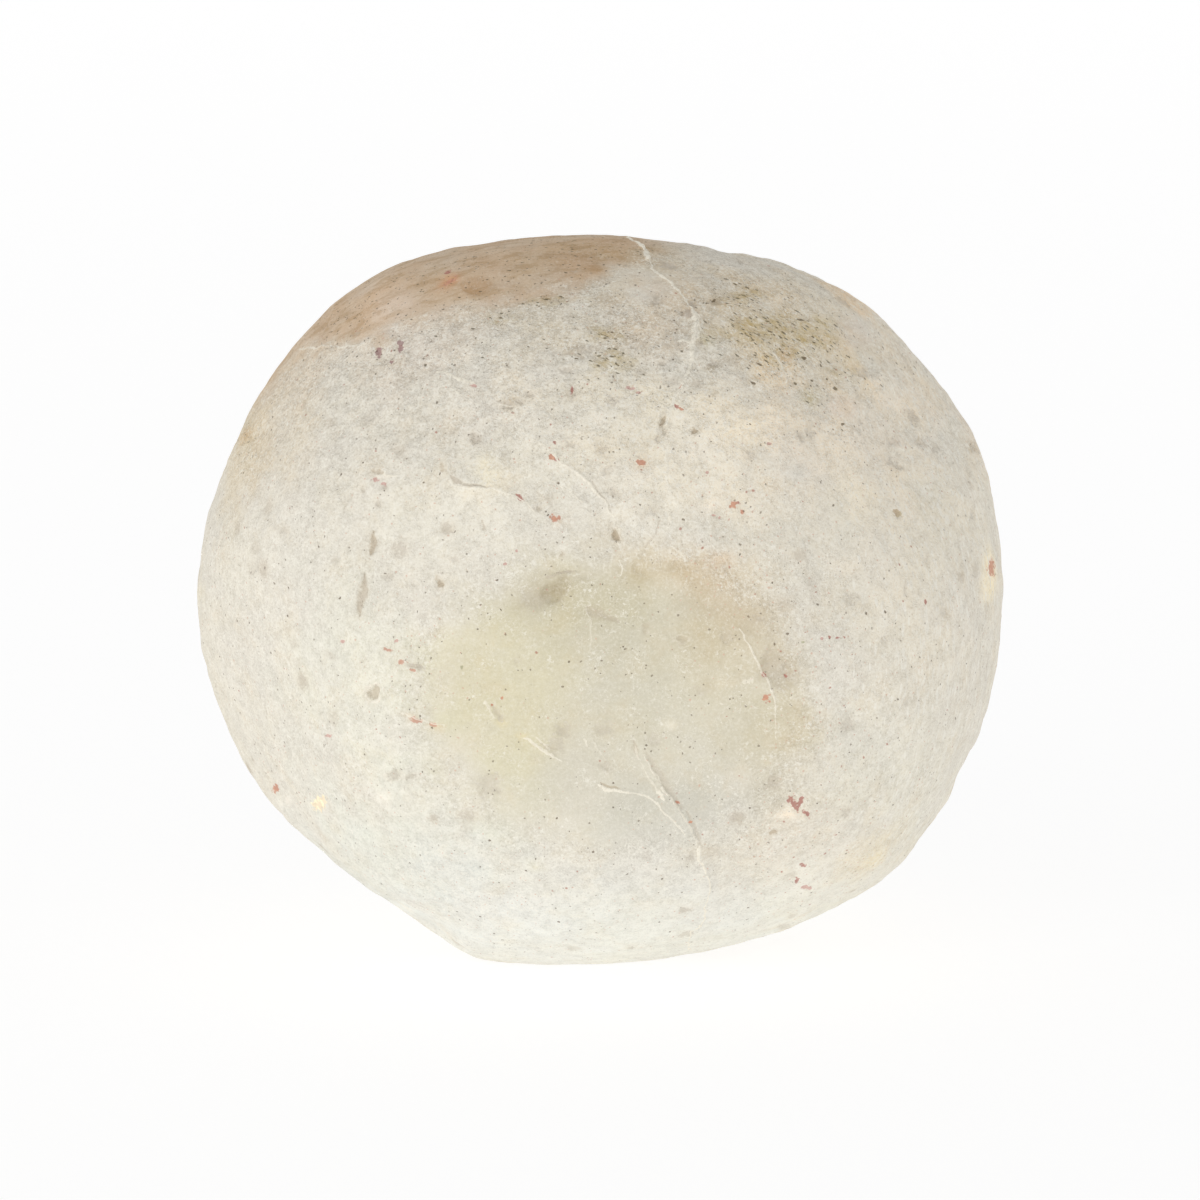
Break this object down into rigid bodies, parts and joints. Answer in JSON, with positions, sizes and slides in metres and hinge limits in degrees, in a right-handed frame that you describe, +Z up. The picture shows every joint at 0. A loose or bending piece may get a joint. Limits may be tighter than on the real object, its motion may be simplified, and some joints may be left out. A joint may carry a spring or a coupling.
{
  "type": "geode",
  "caption": "Whole, unopened agate geode: a pale, chalky, rounded nodule with pits and healed cracks that rests on a small flat spot.",
  "frame": {"origin": "middle of the bounding box at its bottom, on the plane of the flat spot that the geode rests on", "axes": "+Z up, +X to the right along the widest extent, -Y to the front with the broad worn face"},
  "size_m": [0.1102, 0.101, 0.0979],
  "materials": {
    "rind": "matte"
  },
  "bodies": {
    "root": {"geode": "rind"}
  },
  "joints": []
}
